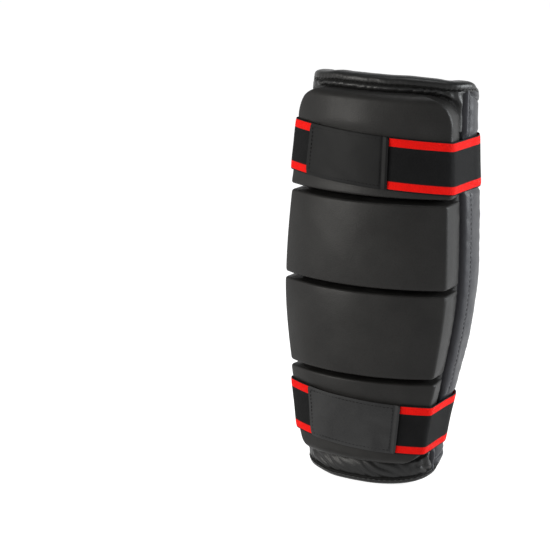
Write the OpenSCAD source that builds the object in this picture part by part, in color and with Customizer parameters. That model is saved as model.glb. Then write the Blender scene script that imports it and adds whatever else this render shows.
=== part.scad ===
// Strap-on shin guard: four padded blocks sewn to a curved foam shell, with a wing on each side,
// a gathered lining, two elastic calf straps closed by hook tabs, and an inner calf band.
// Z runs up the shin from the bottom hem, X runs across it, and the blocks face -Y.

/* [Shell] */
// Height from the bottom hem to the top hem
guard_h = 360; // [340:5:380]
// Girth scale at the ankle end
ankle_k = 0.75; // [0.7:0.01:0.8]
// Girth scale at the calf
calf_k = 1.02; // [0.96:0.01:1.06]
// Girth scale at the knee end
knee_k = 0.92; // [0.88:0.01:0.98]
// Height at which the calf is widest
calf_z = 185; // [175:5:205]
// How far the shin line bows forward at mid height
shin_bow = 5; // [0:1:8]
// Thickness of the shell's foam
shell_foam_t = 8; // [6:0.5:9]
// Thickness of the soft cushion behind the lining
cushion_t = 4; // [3:0.5:5]
// Thickness of the foam in each wing
wing_foam_t = 5; // [4:0.5:6]
// Thickness of the coated fabric
skin_t = 1; // [0.8:0.1:1.2]

/* [Blocks] */
// Thickness of the two middle blocks
block_t = 22; // [20:1:25]
// How much thinner the end blocks are
end_block_thinner = 2; // [0:0.5:3]
// Edge rounding of the blocks
block_edge_r = 6; // [4:0.5:7]
// Rounding of the upper corners of the top block
top_corner_r = 27; // [20:1:30]
// Rounding of the lower corners of the ankle block
ankle_corner_r = 16; // [12:1:20]
// Width of the groove between blocks
groove_w = 4.5; // [4:0.5:6]

/* [Straps] */
// Width of the two elastic calf straps
strap_w = 45; // [40:1:50]
// Thickness of the elastic
strap_t = 1.6; // [1.4:0.1:2]
// Height of the middle of the upper strap
upper_strap_z = 290; // [286:1:294]
// Height of the middle of the lower strap
lower_strap_z = 59; // [56:1:62]
// Slant of the calf straps: how far they drop to the right, per unit of width
strap_slant = 0.06; // [0:0.01:0.08]
// Width of the inner calf band
band_w = 32; // [28:1:36]

/* [Hidden] */

// Half of the shell's cross-section at a girth scale of 1, from the front centre line round to the
// rear edge of a wing: [length, turn in degrees] of each arc in order.
SHELL_ARCS = [[63, 33], [23, 40], [36, 29], [29, 76], [50, 34]];
// Where a block's side wall meets the shell, the step from there to its root, where a wing is sewn on,
// and where the shell's layers end, all along those arcs.
root_s = 83;
root_step = 1;
seam_s = 86.5;
shell_edge_s = 85;

// Half of a block's front face, then its rounded corner: lengths of the arcs, and headings in degrees at
// their ends. face_half_w is the half width that the rounded ends of a block are scaled from.
face_half = 75;
face_turn = 32;
corner_arc = 11;
wall_heading = 86;
face_half_w = 76;

// Block heights, from the bottom of the ankle block to the top of the top block.
ankle_block_z = 27;
groove_zs = [100, 179, 257];
top_block_z = 346;

// The hems: a padded roll and a folded binding on each end of the shell.
binding_t = 1;
binding_h = 7.5;
hem_out = 2.5;
hem_s = 87;

// How far the shell's layers stop short of the hems' folds, and how much smaller the cushion is.
shell_end = binding_h + 0.5;
cushion_end = 14;
cushion_margin = 3;

// Depths below the shell's outer face, d = 0. Layers with the same rows and columns lie gap apart, and
// others lie seat apart, which is more than their facets differ by.
gap = 0.1;
seat = 0.4;
foam_in = -skin_t - gap - shell_foam_t;
cushion_in = foam_in - seat - cushion_t;
lining_in = cushion_in - seat - skin_t;
wing_foam_in = -skin_t - seat - wing_foam_t;
wing_in = wing_foam_in - seat - skin_t;

// Where the shell's front lies, so that the origin is at the middle of the whole guard.
shell_y = -29.6;

// The rear edge of a wing: its line in the middle, and the quarter ellipses that sweep it to the hems.
wing_mid_s = 164;
wing_ankle_s = 176;
wing_ankle_z = 50;
wing_mid_z = 170;
sweep_top = [60, 54];
sweep_bottom = [82, 40];
wing_end_gap = 8.2;

// Straps: clearance over what they lie on, and the layers of the closure on the front of a block.
strap_lift = 0.5;
side_lift = 0.2;
rear_lift = 1.9;
patch_t = 1;
hook_from = 1.4;
hook_t = 0.6;
tab_t = 1.6;
// Positions along a strap: 0 front centre, 1 end of the face, 2 end of the corner, 3 side of the
// wing, 4 rear of the wing, 5 rear centre. Left is negative.
fold_front = -1.3;
fold_back = 4;
upper_tab_span = [-0.76, 0.34];
lower_tab_span = [-0.7, 0.68];
// Where a strap first lies on the side of a wing, and where it leaves the rear of one.
strap_side_s = 105;
strap_rear_s = 151;

function mix(a, b, t) = a + (b - a) * t;
function ease(t) = let (c = min(max(t, 0), 1)) c * c * (3 - 2 * c);

// Girth scale and forward bow of the cross-section at height z.
function girth(z) = z < calf_z
    ? mix(ankle_k, calf_k, ease(z / calf_z))
    : mix(calf_k, knee_k, ease((z - calf_z) / (guard_h - calf_z)));
function bow(z) = shell_y - shin_bow * sin(180 * z / guard_h);

// Walks along arcs: [x, y, heading] after length s, starting at the front centre and heading along +X.
function arc_end(from, length, turn) =
    let (r = length / max(turn * PI / 180, 0.000001), h = from.z, e = h + turn)
    turn == 0
        ? [from.x + length * cos(h), from.y + length * sin(h), h]
        : [from.x + r * (sin(e) - sin(h)), from.y + r * (cos(h) - cos(e)), e];
function walk(s, arcs, i = 0, from = [0, 0, 0]) =
    s > arcs[i][0] && i < len(arcs) - 1
        ? walk(s - arcs[i][0], arcs, i + 1, arc_end(from, arcs[i][0], arcs[i][1]))
        : arc_end(from, s, arcs[i][1] * s / arcs[i][0]);
function both_ways(s, arcs) = let (p = walk(abs(s), arcs)) s < 0 ? [-p.x, p.y, -p.z] : p;

// A point of the shell: s along its section, d outwards from its outer face, at height z.
function shell(s, d, z) =
    let (p = both_ways(s, SHELL_ARCS), k = girth(z))
    [k * p.x + d * sin(p.z), bow(z) + k * p.y - d * cos(p.z), z];

// Rows of points: n + 1 values from a to b, and a grid of the shell at depth d.
function spaced(a, b, n) = [for (i = [0 : n]) mix(a, b, i / n)];
function shell_grid(ss, d, zs) = [for (z = zs) [for (s = ss) shell(s, d, z)]];

// Closed solid between an outer and an inner grid, with rows going up and columns along +s.
module between(outer, inner) {
    rows = len(outer) - 1;
    cols = len(outer[0]) - 1;
    n = (rows + 1) * (cols + 1);
    function at(i, j) = i * (cols + 1) + j;
    polyhedron(
        points = [each [for (row = outer) each row], each [for (row = inner) each row]],
        faces = [
            for (j = [0 : cols - 1]) each [
                [at(0, j), at(0, j + 1), n + at(0, j + 1)],
                [at(0, j), n + at(0, j + 1), n + at(0, j)],
                [at(rows, j + 1), at(rows, j), n + at(rows, j)],
                [at(rows, j + 1), n + at(rows, j), n + at(rows, j + 1)]
            ],
            for (i = [0 : rows - 1]) each [
                [at(i + 1, 0), at(i, 0), n + at(i, 0)],
                [at(i + 1, 0), n + at(i, 0), n + at(i + 1, 0)],
                [at(i, cols), at(i + 1, cols), n + at(i + 1, cols)],
                [at(i, cols), n + at(i + 1, cols), n + at(i, cols)]
            ],
            for (i = [0 : rows - 1], j = [0 : cols - 1]) each [
                [at(i, j), at(i + 1, j), at(i + 1, j + 1)],
                [at(i, j), at(i + 1, j + 1), at(i, j + 1)],
                [n + at(i, j), n + at(i + 1, j + 1), n + at(i + 1, j)],
                [n + at(i, j), n + at(i, j + 1), n + at(i + 1, j + 1)]
            ]
        ]);
}

// A layer of the shell between two depths.
module shell_layer(s_half, d_out, d_in, z0, z1, cols = 24, rows = 14) {
    ss = spaced(-s_half, s_half, cols);
    zs = spaced(z0, z1, rows);
    between(shell_grid(ss, d_out, zs), shell_grid(ss, d_in, zs));
}

module shell_backing() {
    color("#1d1d1e") shell_layer(shell_edge_s, 0, -skin_t, shell_end, guard_h - shell_end);
}

module shell_foam() {
    color("#3b3b3d")
        shell_layer(shell_edge_s, -skin_t - gap, foam_in, shell_end, guard_h - shell_end);
}

module shin_cushion() {
    color("#55555a")
        shell_layer(shell_edge_s - cushion_margin, foam_in - seat, cushion_in, cushion_end,
            guard_h - cushion_end, cols = 20, rows = 10);
}

module lining() {
    color("#141416")
        shell_layer(shell_edge_s, cushion_in - seat, lining_in, shell_end, guard_h - shell_end);
}

// One row of a block at height z, from its left root to its right root: face_w is the share of the
// full face width, inset moves the skin inwards, and t is the block's thickness.
face_cols = 5;
corner_cols = 3;
half_cols = face_cols + corner_cols + 1;
function mirrored(half) = [
    for (i = [len(half) - 1 : -1 : 1]) [-half[i].x, half[i].y, half[i].z],
    each half
];
function block_row(z, face_w, inset, t) =
    let (
        arcs = [[face_half * face_w, face_turn * face_w], [corner_arc, wall_heading - face_turn * face_w]],
        k = girth(z),
        ss = [
            each spaced(0, arcs[0][0], face_cols),
            for (i = [1 : corner_cols]) arcs[0][0] + corner_arc * i / corner_cols
        ])
    mirrored([
        for (s = ss) let (p = walk(s, arcs))
            [k * p.x - inset * sin(p.z), bow(z) + k * (p.y - t) + inset * cos(p.z), z],
        shell(root_s * face_w - inset / k, seat, z)
    ]);
function root_row(z, face_w, inset) = let (end_s = root_s * face_w - inset / girth(z) - root_step)
    mirrored([for (i = [0 : half_cols]) shell(end_s * i / half_cols, seat, z)]);

// Rows of a block as [height, inset, share of the face width], from its bottom to its top, for a skin
// that lies g inside the block's surface. f rounds the edges, and r0 and r1 the lower and upper corners.
function corner_share(dz, r) = dz < r ? 1 - (r - sqrt(r * r - pow(r - dz, 2))) / face_half_w : 1;
function block_end(r, g) = let (f = block_edge_r) [
    for (a = [0 : 45 : 90]) [f - (f - g) * cos(a), f - (f - g) * sin(a)],
    for (dz = [12, 19, r]) if (dz > f && dz <= r) [dz, g]
];
function block_rows(z0, z1, r0, r1, g) =
    let (
        low = block_end(r0, g),
        high = block_end(r1, g),
        middle = spaced(z0 + max(r0, 20), z1 - max(r1, 20) - 4, 1))
    [
        for (p = low) [z0 + p[0], p[1]],
        for (z = middle) [z + 2, g],
        for (i = [len(high) - 1 : -1 : 0]) [z1 - high[i][0], high[i][1]]
    ];
function share_at(z, z0, z1, r0, r1) = min(corner_share(z - z0, r0), corner_share(z1 - z, r1));

// The skin and the root of a block in rows, g inside its surface.
function skin_rows(b, g) = [
    for (r = block_rows(b[0], b[1], b[3], b[4], g))
        block_row(r[0], share_at(r[0], b[0], b[1], b[3], b[4]), r[1], b[2])
];
function root_rows(b, g) = [
    for (r = block_rows(b[0], b[1], b[3], b[4], g))
        root_row(r[0], share_at(r[0], b[0], b[1], b[3], b[4]), r[1])
];
function wrapped(b, g) = let (roots = root_rows(b, g))
    [roots[0], each skin_rows(b, g), roots[len(roots) - 1]];

module block_foam(b) {
    color("#4a4a4d") between(skin_rows(b, skin_t + gap), root_rows(b, skin_t + gap));
}
module block_cover(b) {
    color("#2a2b2c") between(wrapped(b, 0), wrapped(b, skin_t));
}

// The four blocks: bottom, top, thickness, rounding of the lower corners, rounding of the upper ones.
half_groove = groove_w / 2;
TOP_BLOCK = [groove_zs[2] + half_groove, top_block_z, block_t - end_block_thinner, 0, top_corner_r];
UPPER_BLOCK = [groove_zs[1] + half_groove, groove_zs[2] - half_groove, block_t, 0, 0];
LOWER_BLOCK = [groove_zs[0] + half_groove, groove_zs[1] - half_groove, block_t, 0, 0];
ANKLE_BLOCK = [ankle_block_z, groove_zs[0] - half_groove, block_t - end_block_thinner, ankle_corner_r, 0];

module top_block_foam() { block_foam(TOP_BLOCK); }
module upper_block_foam() { block_foam(UPPER_BLOCK); }
module lower_block_foam() { block_foam(LOWER_BLOCK); }
module ankle_block_foam() { block_foam(ANKLE_BLOCK); }
module top_block_cover() { block_cover(TOP_BLOCK); }
module upper_block_cover() { block_cover(UPPER_BLOCK); }
module lower_block_cover() { block_cover(LOWER_BLOCK); }
module ankle_block_cover() { block_cover(ANKLE_BLOCK); }

// Through-stitching at the bottom of each groove.
module groove_seams() {
    seam_h = 1.6;
    color("#0c0c0d")
        for (z = groove_zs) shell_layer(root_s - 3, 1.1, seat, z - seam_h / 2, z + seam_h / 2, rows = 1);
}

// A padded roll on the end of the shell, which bulges outwards between z0 and z1.
module hem_roll(z0, z1) {
    ss = spaced(-hem_s, hem_s, 24);
    bulge = [0.7, hem_out, hem_out, 0.7];
    zs = spaced(z0, z1, 3);
    color("#232325") between(
        [for (i = [0 : 3]) [for (s = ss) shell(s, bulge[i], zs[i])]],
        [for (i = [0 : 3]) [for (s = ss) shell(s, seat, zs[i])]]);
}
module top_hem_roll() { hem_roll(top_block_z + 0.6, guard_h - binding_h - 0.4); }
module bottom_hem_roll() { hem_roll(binding_h + 0.4, ankle_block_z - 0.6); }

// A binding folded over the end of the shell: profile points are [depth, height from the fold].
function hem_profile(grow) =
    let (out = hem_out + 0.3 + grow, in = lining_in - 0.3 - grow, top = -binding_t + grow)
    [[out, -binding_h], [out, top - 2.5], [out - 2, top], [in + 2, top], [in, top - 2.5], [in, -binding_h]];
module hem_binding(fold_z, up, end_s) {
    ss = spaced(-end_s, end_s, 28);
    function rows(grow) = let (p = hem_profile(grow))
        [for (q = up > 0 ? p : [for (i = [len(p) - 1 : -1 : 0]) p[i]])
            [for (s = ss) shell(s, q[0], fold_z + up * q[1])]];
    color("#1b1b1d") between(rows(binding_t), rows(0));
}
module top_binding() { hem_binding(guard_h, 1, wing_mid_s - sweep_top[0] + 2); }
module bottom_binding() { hem_binding(0, -1, wing_ankle_s - sweep_bottom[0] - 2); }

// The right wing's rear edge as [s, z] points from the bottom hem to the top hem.
wing_z0 = wing_end_gap;
wing_z1 = guard_h - wing_end_gap;
function mid_edge_s(z) =
    mix(wing_ankle_s, wing_mid_s, ease((z - wing_ankle_z) / (wing_mid_z - wing_ankle_z)));
EDGE = [
    for (a = [5 : 12 : 89]) let (z = wing_z0 + sweep_bottom[1] * (1 - cos(a)))
        [mid_edge_s(z) - sweep_bottom[0] * (1 - sin(a)), z],
    for (z = spaced(wing_z0 + sweep_bottom[1], wing_z1 - sweep_top[1], 7)) [mid_edge_s(z), z],
    for (a = [73 : -17 : 5]) let (z = wing_z1 - sweep_top[1] * (1 - cos(a)))
        [mid_edge_s(z) - sweep_top[0] * (1 - sin(a)), z]
];

// The direction square to the wing's edge at its point i, along the shell and away from the wing.
last = len(EDGE) - 1;
function across(i) = let (t = EDGE[min(i + 1, last)] - EDGE[max(i - 1, 0)]) [t[1], -t[0]] / norm(t);

// A layer of the right wing between two depths, as far as the edge less trim.
module wing_layer(d_out, d_in, trim = 1.1, cols = 12) {
    function rows(d) = [
        for (i = [0 : last]) let (e = EDGE[i] - trim * across(i))
            [for (s = spaced(seam_s, e[0], cols)) shell(s, d, e[1])]
    ];
    between(rows(d_out), rows(d_in));
}

// A binding folded over the wing's edge, square to it: profile points are [reach past the edge, depth].
module wing_binding() {
    function profile(grow) = let (o = 2 * seat + grow, i = wing_in - 2 * seat - grow, e = grow)
        [[-6.5, o], [e - 1, o], [e + 0.6, o - 1.4], [e + 0.6, i + 1.4], [e - 1, i], [-6.5, i]];
    function rows(grow) = [for (i = [0 : last]) let (n = across(i))
        [for (q = profile(grow)) shell(EDGE[i][0] + q[0] * n[0], q[1], EDGE[i][1] + q[0] * n[1])]];
    between(rows(binding_t), rows(0));
}

module right_wing_cover() { color("#262728") wing_layer(0, -skin_t); }
module right_wing_foam() { color("#3b3b3d") wing_layer(-skin_t - seat, wing_foam_in, trim = 1.8); }
module right_wing_facing() { color("#1a1a1b") wing_layer(wing_foam_in - seat, wing_in); }
module right_wing_binding() { color("#1b1b1d") wing_binding(); }
module left_wing_cover() { mirror([1, 0, 0]) right_wing_cover(); }
module left_wing_foam() { mirror([1, 0, 0]) right_wing_foam(); }
module left_wing_facing() { mirror([1, 0, 0]) right_wing_facing(); }
module left_wing_binding() { mirror([1, 0, 0]) right_wing_binding(); }

// The inner calf band: sewn to the inner face of each wing, and bowed towards the shin between them.
band_z = groove_zs[1];
band_t = 1.4;
band_bow = 15;
bow_power = 1.3;
band_sewn = [120, 146];
band_seat = 0.8;
module calf_band() {
    zs = [band_z - band_w / 2, band_z, band_z + band_w / 2];
    ends = spaced(band_sewn[0], band_sewn[1], 5);
    function line(z, d) = let (e = shell(band_sewn[1], d, z)) mirrored([
        for (x = spaced(0, e.x, 9)) [x, e.y - band_bow * pow(cos(90 * x / e.x), bow_power), z],
        for (i = [len(ends) - 2 : -1 : 0]) shell(ends[i], d, z)
    ]);
    lift = wing_in - band_seat;
    color("#131316") between([for (z = zs) line(z, lift - band_t)], [for (z = zs) line(z, lift)]);
}

// A point of a level calf strap: u as listed above, d above what it lies on, at height z.
function level_point(u, d, z, t) =
    let (
        a = abs(u), m = u < 0 ? -1 : 1, k = girth(z),
        arcs = [[face_half, face_turn], [corner_arc, wall_heading - face_turn]],
        p = walk(a <= 1 ? face_half * a : face_half + corner_arc * min(a - 1, 1), arcs),
        on_block = [k * p.x + d * sin(p.z), bow(z) + k * (p.y - t) - d * cos(p.z)],
        side = shell(strap_side_s, d + side_lift, z),
        c = min(max(a - 3, 0), 1),
        rear = shell(mix(strap_side_s, strap_rear_s, c), d + mix(side_lift, rear_lift, c), z),
        q = a <= 2 ? on_block : a <= 3 ? mix(on_block, [side.x, side.y], a - 2)
            : a <= 4 ? [rear.x, rear.y] : [rear.x * (5 - a), rear.y])
    [m * q.x, q.y, z];

// The same point of a slanting strap, which is lower on the right than on the left.
function strap_point(u, d, z, t) = level_point(u, d, z - strap_slant * level_point(u, d, z, t).x, t);

// A stretch of a strap from u0 to u1 between two depths, straight from its lower to its upper edge.
module strap_piece(u0, u1, d_in, d_out, mid_z, t, h = strap_w, cols = 8) {
    zs = [mid_z - h / 2, mid_z + h / 2];
    us = spaced(u0, u1, cols);
    function rows(d) = [for (z = zs) [for (u = us) strap_point(u, d, z, t)]];
    between(rows(d_out), rows(d_in));
}

// The pieces of one strap, as [u of the start, u of the end, depth below, depth above].
hinge_gap = 0.004;
back_gap = 0.3;
module strap_set(part, mid_z, t, tab) {
    top = strap_lift + strap_t;
    if (part == "patch") color("#1c1c1e")
        strap_piece(tab[0] + 0.14, tab[1] - 0.02, gap, gap + patch_t, mid_z, t, h = strap_w - 4);
    if (part == "hook") color("#0f0f10")
        strap_piece(tab[0] + 0.15, tab[1] - 0.03, hook_from, hook_from + hook_t, mid_z, t, h = strap_w - 5);
    if (part == "tab") color("#29292b")
        strap_piece(tab[0], tab[1], top + 2 * gap, top + 2 * gap + tab_t, mid_z, t);
    if (part == "end") color("#242426")
        strap_piece(fold_front + 0.03, tab[0] + 0.13, strap_lift, top, mid_z, t, cols = 7);
    if (part == "side") color("#242426")
        strap_piece(-fold_back + hinge_gap, fold_front - 0.03, strap_lift, top, mid_z, t, cols = 22);
    if (part == "back") color("#242426")
        strap_back(mid_z, t);
    if (part == "anchor") color("#242426")
        strap_piece(tab[1] + 0.02, fold_back - hinge_gap, gap, gap + strap_t, mid_z, t, cols = 30);
}
module strap_back(mid_z, t) {
    zs = [mid_z - strap_w / 2, mid_z + strap_w / 2];
    function rows(d) = [for (z = zs)
        let (r = strap_point(fold_back, d, z, t), l = strap_point(-fold_back, d, z, t))
        [for (f = spaced(0, 1, 6)) mix(r - [back_gap, 0, 0], l + [back_gap, 0, 0], f)]];
    between(rows(strap_lift + strap_t), rows(strap_lift));
}

top_t = block_t - end_block_thinner;
module upper_part(part) { strap_set(part, upper_strap_z, top_t, upper_tab_span); }
module lower_part(part) { strap_set(part, lower_strap_z, top_t, lower_tab_span); }
module upper_loop_patch() { upper_part("patch"); }
module upper_strap_anchor() { upper_part("anchor"); }
module upper_strap_back() { upper_part("back"); }
module upper_strap_side() { upper_part("side"); }
module upper_strap_end() { upper_part("end"); }
module upper_hook_strip() { upper_part("hook"); }
module upper_pull_tab() { upper_part("tab"); }
module lower_loop_patch() { lower_part("patch"); }
module lower_strap_anchor() { lower_part("anchor"); }
module lower_strap_back() { lower_part("back"); }
module lower_strap_side() { lower_part("side"); }
module lower_strap_end() { lower_part("end"); }
module lower_hook_strip() { lower_part("hook"); }
module lower_pull_tab() { lower_part("tab"); }

shell_backing();
shell_foam();
shin_cushion();
lining();
top_block_foam();
upper_block_foam();
lower_block_foam();
ankle_block_foam();
top_block_cover();
upper_block_cover();
lower_block_cover();
ankle_block_cover();
groove_seams();
top_hem_roll();
bottom_hem_roll();
top_binding();
bottom_binding();
left_wing_cover();
left_wing_foam();
left_wing_facing();
left_wing_binding();
right_wing_cover();
right_wing_foam();
right_wing_facing();
right_wing_binding();
calf_band();
upper_loop_patch();
upper_strap_anchor();
upper_strap_back();
upper_strap_side();
upper_strap_end();
upper_hook_strip();
upper_pull_tab();
lower_loop_patch();
lower_strap_anchor();
lower_strap_back();
lower_strap_side();
lower_strap_end();
lower_hook_strip();
lower_pull_tab();
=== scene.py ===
import math
import bpy
import numpy as np
from mathutils import Matrix, Vector


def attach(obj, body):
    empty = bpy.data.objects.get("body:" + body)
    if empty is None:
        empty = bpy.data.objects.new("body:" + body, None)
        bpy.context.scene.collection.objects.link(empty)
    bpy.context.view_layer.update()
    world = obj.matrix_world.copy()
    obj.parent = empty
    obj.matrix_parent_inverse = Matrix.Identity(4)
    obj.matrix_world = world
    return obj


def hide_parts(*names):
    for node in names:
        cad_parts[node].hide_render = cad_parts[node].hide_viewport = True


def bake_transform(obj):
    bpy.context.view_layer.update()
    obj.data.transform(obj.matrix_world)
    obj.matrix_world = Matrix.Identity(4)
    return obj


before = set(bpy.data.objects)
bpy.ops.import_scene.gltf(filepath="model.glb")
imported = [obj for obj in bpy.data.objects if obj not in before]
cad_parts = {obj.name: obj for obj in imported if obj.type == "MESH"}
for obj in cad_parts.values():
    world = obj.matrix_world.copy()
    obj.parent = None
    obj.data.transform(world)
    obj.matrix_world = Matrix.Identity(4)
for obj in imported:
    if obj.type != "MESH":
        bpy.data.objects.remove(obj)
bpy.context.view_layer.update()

# ------------ the guard's form, in millimetres
# Points on the guard are given by s, the length along the shell's section from its front, by d, the
# depth outwards from the shell's outer face, and by the height z.
MM = 0.001
GUARD_H, CALF_Z = 360.0, 185.0
ANKLE_K, CALF_K, KNEE_K = 0.75, 1.02, 0.92
# Length, and turn in degrees, of each arc of half the section.
SHELL_ARCS = ((63, 33), (23, 40), (36, 29), (29, 76), (50, 34))
SHELL_Y, SHIN_BOW = -29.6, 5.0
# Where the blocks stand, where the wings are sewn on, and where their roll ends, all as s.
ROOT_S, SEAM_S, ROLL_END_S = 83.0, 86.5, 97.5
# The wings' stitches: s of the row along the roll, and distance in from the rear edge of the other.
ROLL_STITCH_S, EDGE_STITCH_IN = 99.3, 9.6
LINING_D, WING_D = -14.9, -7.8
GROOVES = (100.0, 179.0, 257.0)
UPPER_Z, LOWER_Z, STRAP_W, SLANT = 290.0, 59.0, 45.0, 0.06
# A block's front: arc and turn of its face, arc of its corner, and heading of its side, in degrees.
FACE_ARC, FACE_TURN, CORNER_ARC, WALL_HEADING = 79.0, 33.7, 5.0, 86.0
SIDES = (("right", 1), ("left", -1))


def ease(t):
    """A smooth step from 0 to 1."""
    c = np.clip(t, 0, 1)
    return c * c * (3 - 2 * c)


def mix(a, b, t):
    return a + (b - a) * t


def bump(x, centre, width):
    """A bell of height 1."""
    return np.exp(-(((x - centre) / width) ** 2))


def girth(z):
    """The section's scale at height z."""
    z = np.asarray(z, float)
    low = mix(ANKLE_K, CALF_K, ease(z / CALF_Z))
    high = mix(CALF_K, KNEE_K, ease((z - CALF_Z) / (GUARD_H - CALF_Z)))
    return np.where(z < CALF_Z, low, high)


def bow(z):
    """y of the shell's front at height z."""
    return SHELL_Y - SHIN_BOW * np.sin(np.pi * np.asarray(z, float) / GUARD_H)


def walk(s, arcs):
    """x, y and heading after each length s of an outline that starts heading along +X."""
    s = np.asarray(s, float)
    x, y, h = np.zeros_like(s), np.zeros_like(s), np.zeros_like(s)
    at, px, py, ph = 0.0, 0.0, 0.0, 0.0
    for i, (length, turn) in enumerate(arcs):
        on = (s >= at) if i == len(arcs) - 1 else (s >= at) & (s <= at + length)
        rate = math.radians(turn) / length
        e = ph + (s - at) * rate
        x = np.where(on, px + (np.sin(e) - math.sin(ph)) / rate, x)
        y = np.where(on, py + (math.cos(ph) - np.cos(e)) / rate, y)
        h = np.where(on, e, h)
        end = ph + math.radians(turn)
        px += (math.sin(end) - math.sin(ph)) / rate
        py += (math.cos(ph) - math.cos(end)) / rate
        ph, at = end, at + length
    return x, y, h


def shell(s, d, z):
    """Points of the guard. A negative s is on the left side."""
    s, d, z = np.broadcast_arrays(*(np.asarray(v, float) for v in (s, d, z)))
    side, k = np.where(s < 0, -1.0, 1.0), girth(z)
    x, y, h = walk(np.abs(s), SHELL_ARCS)
    return np.stack([side * (k * x + d * np.sin(h)), bow(z) + k * y - d * np.cos(h), z], -1)


def hem_low(s):
    """Height of the bottom hem: it rises towards the sides."""
    return 7.0 * np.clip((np.abs(s) - 25) / 65, 0, 1.4) ** 2


def hem_high(s):
    """Height of the top hem: it drops a little towards the sides."""
    return GUARD_H - 3.8 * ease((np.abs(s) - 30) / 65)


def waves(x, y, seed, size, count=6):
    """A smooth wandering field of about unit height, with features of about that size."""
    rng = np.random.default_rng(seed)
    out = np.zeros(np.broadcast(x, y).shape)
    for _ in range(count):
        a, p = rng.uniform(0, 2 * np.pi), rng.uniform(0, 2 * np.pi)
        f = 2 * np.pi / (size * rng.uniform(0.7, 1.6))
        out = out + np.sin(f * (x * math.cos(a) + y * math.sin(a)) + p)
    return out / math.sqrt(count)


# ------------ meshes
def make(name, verts, faces, mat, body=None, uvs=None):
    """A smooth mesh object from points in millimetres, which rides on a body."""
    me = bpy.data.meshes.new(name)
    me.from_pydata((np.asarray(verts, float) * MM).tolist(), [], [list(map(int, f)) for f in faces])
    me.shade_smooth()
    if uvs is not None:
        layer = me.uv_layers.new(name="UVMap")
        idx = np.empty(len(me.loops), int)
        me.loops.foreach_get("vertex_index", idx)
        layer.data.foreach_set("uv", (np.asarray(uvs, float) * MM)[idx].ravel())
    ob = bpy.data.objects.new(name, me)
    bpy.context.scene.collection.objects.link(ob)
    me.materials.append(mat)
    if body:
        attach(ob, body)
    return ob


def quads(rows, cols, base=0, flip=False, ring=False):
    """Faces of a grid of rows by cols points. A ring's last column meets its first."""
    i, j = np.meshgrid(np.arange(rows - 1), np.arange(cols if ring else cols - 1), indexing="ij")
    a = base + i * cols + j
    b = base + i * cols + (j + 1) % cols
    f = np.stack([a, b, b + cols, a + cols], -1).reshape(-1, 4)
    return f[:, ::-1] if flip else f


def slab(name, outer, inner, mat, body, out_uvs=None):
    """A closed piece between an outer and an inner grid of the same size."""
    rows, cols = outer.shape[:2]
    n = rows * cols
    faces = [quads(rows, cols), quads(rows, cols, n, True)]
    j = np.arange(cols - 1)
    faces.append(np.stack([j + 1, j, n + j, n + j + 1], -1))
    t = (rows - 1) * cols + j
    faces.append(np.stack([t, t + 1, n + t + 1, n + t], -1))
    i = np.arange(rows - 1) * cols
    faces.append(np.stack([i, i + cols, n + i + cols, n + i], -1))
    e = i + cols - 1
    faces.append(np.stack([e + cols, e, n + e, n + e + cols], -1))
    verts = np.concatenate([outer.reshape(-1, 3), inner.reshape(-1, 3)])
    uvs = None if out_uvs is None else np.concatenate([out_uvs.reshape(-1, 2)] * 2)
    return make(name, verts, np.concatenate(faces), mat, body, uvs)


def tube(name, rings, mat, body, uvs=None):
    """A closed piece swept through rings of points, with a flat face on each end."""
    n, m = rings.shape[:2]
    faces = quads(n, m, ring=True).tolist()
    faces += [list(range(m))[::-1], list(range((n - 1) * m, n * m))]
    ob = make(name, rings.reshape(-1, 3), faces, mat, body, None if uvs is None else uvs.reshape(-1, 2))
    for end in ob.data.polygons[-2:]:
        end.use_smooth = False
    return ob


def stitches(name, points, normals, mat, body, pitch=4.6, length=3.1, radius=0.42, lift=0.12):
    """Thread along a line of points: short rounded beads, half sunk into the leather."""
    points, normals = np.asarray(points, float), np.asarray(normals, float)
    run = np.concatenate([[0], np.cumsum(np.linalg.norm(np.diff(points, axis=0), axis=1))])
    count = int(run[-1] / pitch)
    verts, faces = [], []
    shape = ((-0.5, 0.35), (-0.36, 0.85), (0.0, 1.0), (0.36, 0.85), (0.5, 0.35))

    def along_line(at, values):
        return np.array([np.interp(at, run, values[:, k]) for k in range(3)])

    for c in (np.arange(count) + 0.5) * run[-1] / count:
        p, n = along_line(c, points), along_line(c, normals)
        t = along_line(c + 1, points) - along_line(c - 1, points)
        t = t / max(np.linalg.norm(t), 1e-9)
        n = n - t * (n @ t)
        n /= max(np.linalg.norm(n), 1e-9)
        w = np.cross(t, n)
        base = len(verts)
        for along, r in shape:
            for a in np.arange(6) * math.pi / 3:
                drop = -0.5 * radius * (2 * along) ** 2
                verts.append(p + t * along * length + n * (lift + drop + math.sin(a) * r * radius)
                             + w * math.cos(a) * r * radius)
        for k in range(4):
            for j in range(6):
                a, b = base + k * 6 + j, base + k * 6 + (j + 1) % 6
                faces.append([a, a + 6, b + 6, b])
        faces += [[base + j for j in range(6)], [base + 24 + j for j in range(6)][::-1]]
    return make(name, verts, faces, mat, body)


# ------------ materials
def node(tree, kind, inputs=(), **props):
    n = tree.nodes.new(kind)
    for k, v in props.items():
        setattr(n, k, v)
    for k, v in inputs:
        if hasattr(v, "is_output"):
            tree.links.new(v, n.inputs[k])
        else:
            n.inputs[k].default_value = v
    return n


def math_node(tree, op, a, b=0.0):
    return node(tree, "ShaderNodeMath", ((0, a), (1, b)), operation=op).outputs[0]


def mixed(tree, t, a, b):
    n = node(tree, "ShaderNodeMix", data_type="RGBA")
    for k, v in ((0, t), (6, a), (7, b)):
        if hasattr(v, "is_output"):
            tree.links.new(v, n.inputs[k])
        else:
            n.inputs[k].default_value = v
    return n.outputs[2]


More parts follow.
